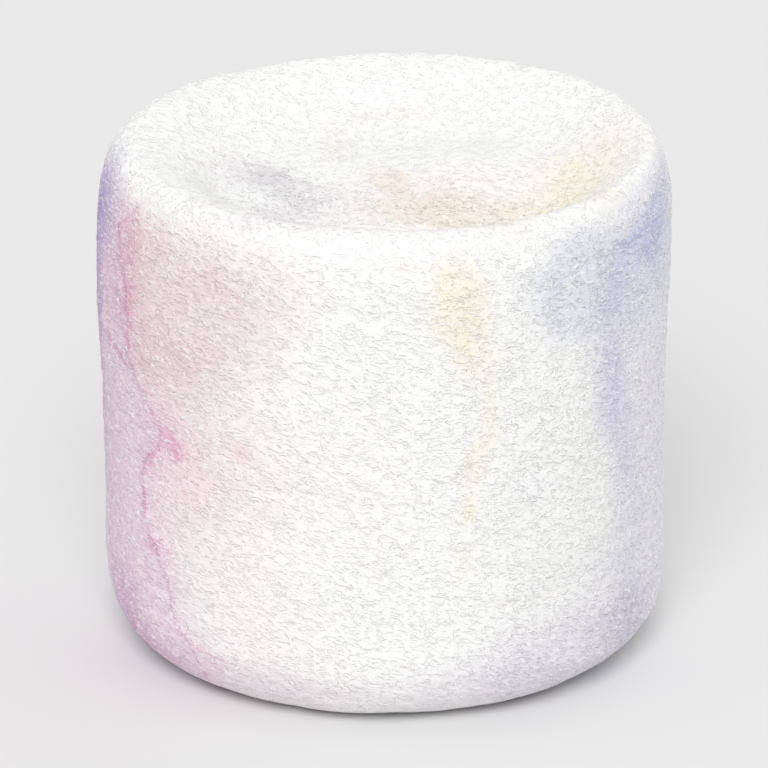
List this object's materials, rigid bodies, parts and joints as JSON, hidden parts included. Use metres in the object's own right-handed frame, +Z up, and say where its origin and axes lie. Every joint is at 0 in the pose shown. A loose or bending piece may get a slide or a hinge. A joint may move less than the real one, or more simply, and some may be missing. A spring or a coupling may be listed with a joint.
{
  "type": "marshmallow",
  "caption": "Plain white marshmallow: a soft, stout cylinder of whipped sugar with a rounded rim and a shallow sunken top.",
  "frame": {"origin": "middle of the flat foot that it stands on", "axes": "+Z up along the cylinder's axis, out of the sunken top; -Y towards the front; +X to the right"},
  "size_m": [0.0304, 0.0302, 0.0277],
  "materials": {
    "skin": "matt white sugar skin, dusted with fine starch, softly translucent, with faint pink, lilac and cream tints"
  },
  "bodies": {
    "root": {"marshmallow": "skin"}
  },
  "joints": []
}
